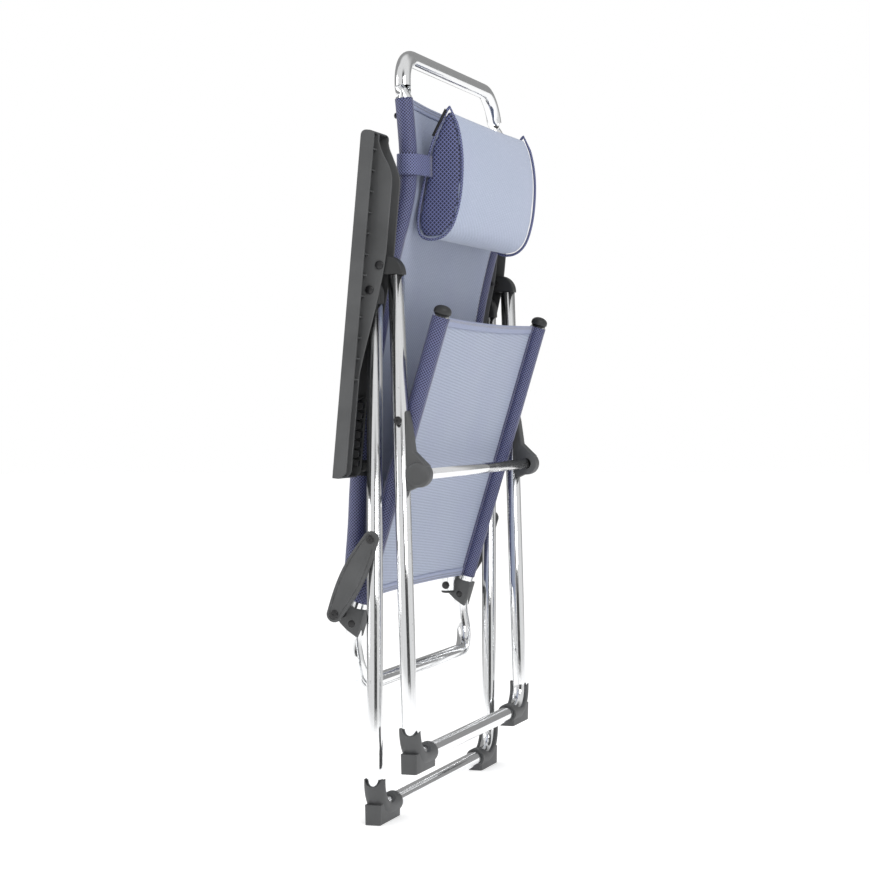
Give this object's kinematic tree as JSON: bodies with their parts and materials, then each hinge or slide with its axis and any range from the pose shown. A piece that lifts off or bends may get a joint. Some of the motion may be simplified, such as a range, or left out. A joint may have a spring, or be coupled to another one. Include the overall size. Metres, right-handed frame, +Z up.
{
  "type": "folding camp chair",
  "caption": "High-back folding camp chair, folded flat: tube frame, mesh slings on sleeves, ribbed armrests with recline rack, removable head pillow.",
  "frame": {"origin": "on the ground, under the middle of the folded chair's bounding box", "axes": "+Z up along the folded chair, +X the side the sitter faces, +Y the sitter's left"},
  "size_m": [0.1649, 0.612, 1.0566],
  "materials": {
    "aluminium_tube": "polished",
    "grey_plastic": "matt, fine grain",
    "dark_plastic": "matt",
    "steel": "zinc plated",
    "black_steel": "black, semi-gloss",
    "mesh_fabric": "coated open weave, light blue-grey with navy sleeves",
    "pillow_fabric": "fine weave, navy piping",
    "elastic_band": "woven elastic"
  },
  "bodies": {
    "front_leg": {"front_leg_tube": "aluminium_tube", "front_foot_right": "grey_plastic", "front_foot_left": "grey_plastic", "front_knuckle_right": "dark_plastic", "front_knuckle_left": "dark_plastic", "stretcher_bar": "aluminium_tube", "stretcher_bracket_right": "grey_plastic", "stretcher_bracket_left": "grey_plastic", "seat_pivot_bolt_right": "black_steel", "seat_pivot_bolt_left": "black_steel"},
    "seat": {"seat_tube": "aluminium_tube", "seat_rail_cap_right": "dark_plastic", "seat_rail_cap_left": "dark_plastic", "hinge_plate_right": "grey_plastic", "hinge_plate_left": "grey_plastic", "hinge_plate_rivet_right": "steel", "hinge_plate_rivet_left": "steel", "seat_sling": "mesh_fabric"},
    "armrests": {"armrest_right": "grey_plastic", "armrest_left": "grey_plastic", "recline_rack_right": "dark_plastic", "recline_rack_left": "dark_plastic", "front_leg_pin_right": "steel", "front_leg_pin_left": "steel", "rear_leg_pin_right": "steel", "rear_leg_pin_left": "steel"},
    "rear_leg": {"rear_leg_tube": "aluminium_tube", "rear_foot_right": "grey_plastic", "rear_foot_left": "grey_plastic", "rear_knuckle_right": "dark_plastic", "rear_knuckle_left": "dark_plastic"},
    "back_hinge": {"hinge_pin_right": "black_steel", "hinge_pin_left": "black_steel", "hinge_spacer_right": "dark_plastic", "hinge_spacer_left": "dark_plastic"},
    "backrest": {"back_tube": "aluminium_tube", "back_sling": "mesh_fabric", "back_tube_plug_right": "dark_plastic", "back_tube_plug_left": "dark_plastic", "sleeve_screw_right": "black_steel", "sleeve_screw_left": "black_steel", "recline_collar_right": "dark_plastic", "recline_collar_left": "dark_plastic"},
    "links": {"link_right": "grey_plastic", "link_left": "grey_plastic", "link_screw_right": "black_steel", "link_screw_left": "black_steel"},
    "pillow": {"pillow": "pillow_fabric", "pillow_band": "elastic_band"}
  },
  "joints": [
    {"name": "seat_fold", "type": "hinge", "parent": "front_leg", "child": "seat", "pos_m": [0.01846, 0, 0.5465], "axis": [0, 1, 0], "range_deg": [0, 80]},
    {"name": "armrest_fold", "type": "hinge", "parent": "front_leg", "child": "armrests", "pos_m": [-0.00654, 0, 0.755], "axis": [0, 1, 0], "range_deg": [0, 88]},
    {"name": "rear_leg_fold", "type": "hinge", "parent": "armrests", "child": "rear_leg", "pos_m": [-0.02054, 0, 0.722], "axis": [0, -1, 0], "range_deg": [0, 56]},
    {"name": "back_fold", "type": "hinge", "parent": "seat", "child": "back_hinge", "pos_m": [-0.07054, 0, 0.2845], "axis": [0, -1, 0], "range_deg": [0, 94]},
    {"name": "link_fold", "type": "hinge", "parent": "seat", "child": "links", "pos_m": [-0.07054, 0, 0.2845], "axis": [0, 1, 0], "range_deg": [0, 53]},
    {"name": "back_recline", "type": "hinge", "parent": "back_hinge", "child": "backrest", "pos_m": [-0.07054, 0, 0.2845], "axis": [0, -1, 0], "range_deg": [0, 24]},
    {"name": "pillow_slide", "type": "slide", "parent": "backrest", "child": "pillow", "axis": [0, 0, 1], "range_m": [0, 0.024]}
  ],
  "couplings": [
    {"joint": "armrest_fold", "follows": "seat_fold", "ratio": 1.0895},
    {"joint": "rear_leg_fold", "follows": "seat_fold", "ratio": 0.69369},
    {"joint": "back_fold", "follows": "seat_fold", "ratio": 1.1677},
    {"joint": "link_fold", "follows": "seat_fold", "ratio": 0.65465}
  ]
}
